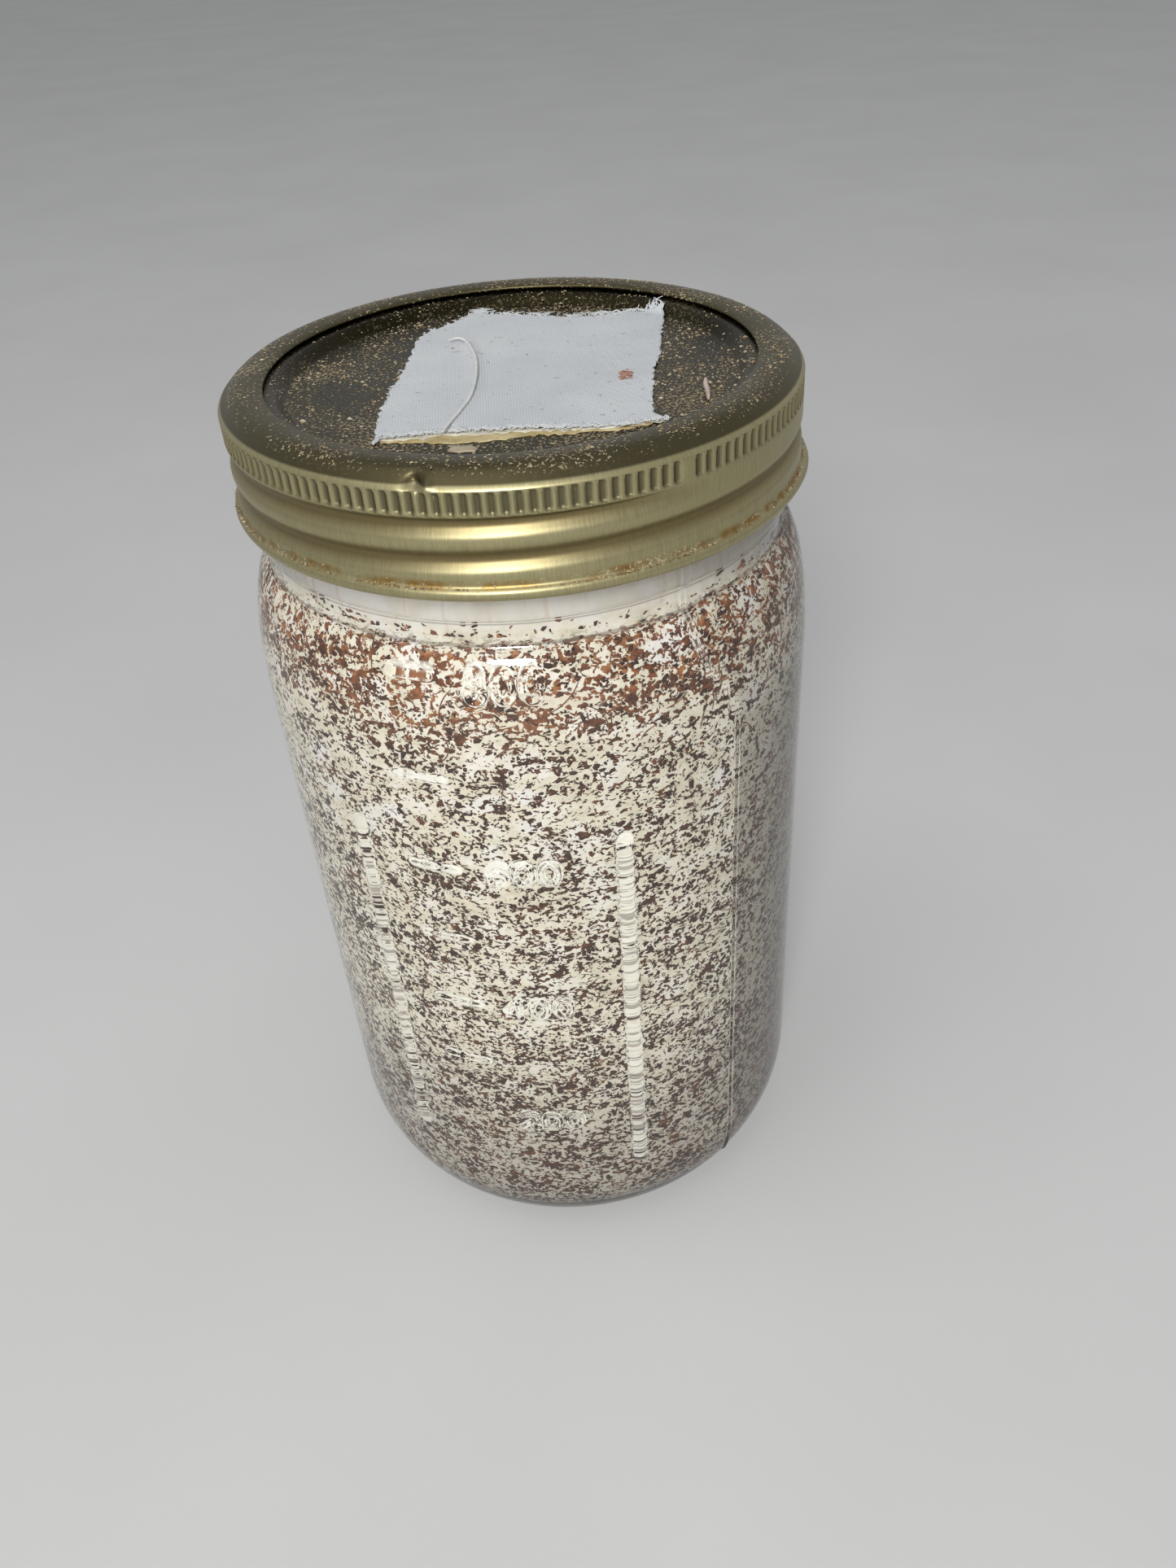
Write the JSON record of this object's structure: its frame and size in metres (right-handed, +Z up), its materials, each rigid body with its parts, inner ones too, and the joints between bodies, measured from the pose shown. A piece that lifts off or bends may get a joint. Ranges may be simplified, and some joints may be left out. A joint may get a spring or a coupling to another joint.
{
  "type": "jar of mushroom grain spawn",
  "caption": "Clear wide-mouth preserving jar packed with white mycelium-knit grain spawn, closed by a flat bronze lid and knurled screw band, with torn white tape on the lid.",
  "frame": {"origin": "centre of the jar's base, on the plane it stands on", "axes": "+Z up along the jar's axis, the object's longest extent; -Y faces the camera side with the graduated panel"},
  "size_m": [0.095, 0.095, 0.1664],
  "materials": {
    "clear_glass": "clear, glossy, faint grey edges",
    "spawn": "matte cream mycelium with fine brown bran specks",
    "sealing_compound": "soft satin",
    "lid_tinplate": "dark bronze lacquer, dusty",
    "band_tinplate": "pale gold lacquer, satin, dusty",
    "cloth_tape": "matte white non-woven, torn edges"
  },
  "bodies": {
    "root": {"glass_jar": "clear_glass", "grain_spawn": "spawn", "sealing_ring": "sealing_compound", "lid_disc": "lid_tinplate", "screw_band": "band_tinplate", "tape_patch": "cloth_tape"}
  },
  "joints": []
}
